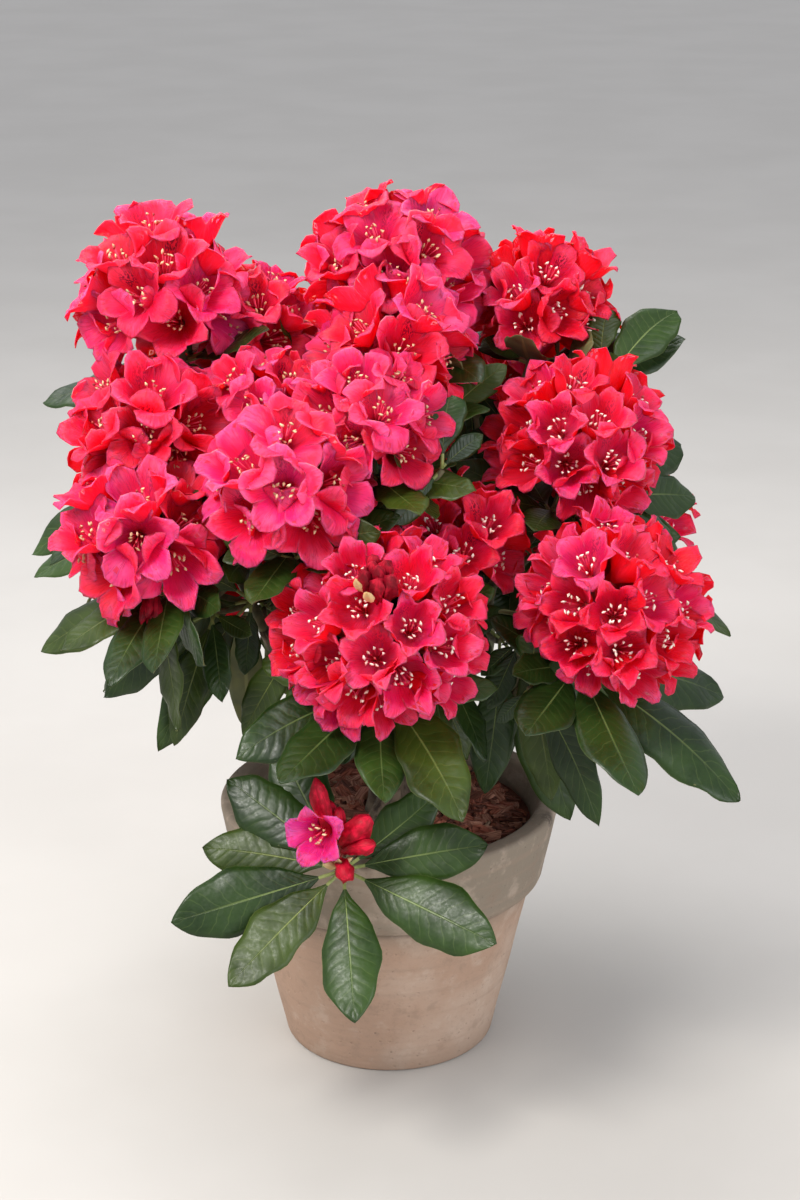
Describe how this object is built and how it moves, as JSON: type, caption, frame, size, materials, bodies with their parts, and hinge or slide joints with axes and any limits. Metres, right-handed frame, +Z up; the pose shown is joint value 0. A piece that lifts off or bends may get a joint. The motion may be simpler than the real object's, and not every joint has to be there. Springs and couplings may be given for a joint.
{
  "type": "potted rhododendron shrub",
  "caption": "Large-leaved rhododendron in full crimson flower, with whorls of dark glossy leaves, grown in a plain clay pot topped with bark mulch; stands on the pot's flat underside",
  "frame": {"origin": "centre of the pot's flat underside", "axes": "+Z up; -Y is the side seen in the picture; +X to the right in the picture"},
  "size_m": [0.577, 0.5709, 0.6955],
  "materials": {
    "clay": "matt unglazed clay",
    "mulch": "rough bark chips",
    "bark": "fissured bark",
    "flowering_shoots": "satin petals and glossy leaves",
    "petals": "satin",
    "leaves": "glossy upper side"
  },
  "bodies": {
    "root": {"pot": "clay", "bark_mulch": "mulch", "main_stem": "bark", "bough_upper_left": "bark", "bough_left": "bark", "bough_front_left": "bark", "bough_top": "bark", "bough_upper_right": "bark", "bough_right": "bark", "bough_lower_right": "bark", "bough_front": "bark", "bough_low_front": "bark", "bough_back_upper_left": "bark", "bough_back_upper_right": "bark", "bough_back_top": "bark", "bough_back_left": "bark", "bough_back_right": "bark", "bough_low_back": "bark", "bough_inner_left": "bark", "mass_upper_left": "flowering_shoots", "mass_left": "flowering_shoots", "mass_front_left": "flowering_shoots", "mass_top": "flowering_shoots", "mass_upper_right": "flowering_shoots", "mass_right": "flowering_shoots", "mass_lower_right": "flowering_shoots", "mass_front": "flowering_shoots", "mass_low_front": "flowering_shoots", "mass_back_upper_left": "flowering_shoots", "mass_back_upper_right": "flowering_shoots", "mass_back_top": "flowering_shoots", "mass_back_left": "flowering_shoots", "mass_back_right": "flowering_shoots", "mass_low_back": "flowering_shoots", "mass_inner_left": "flowering_shoots"}
  },
  "joints": []
}
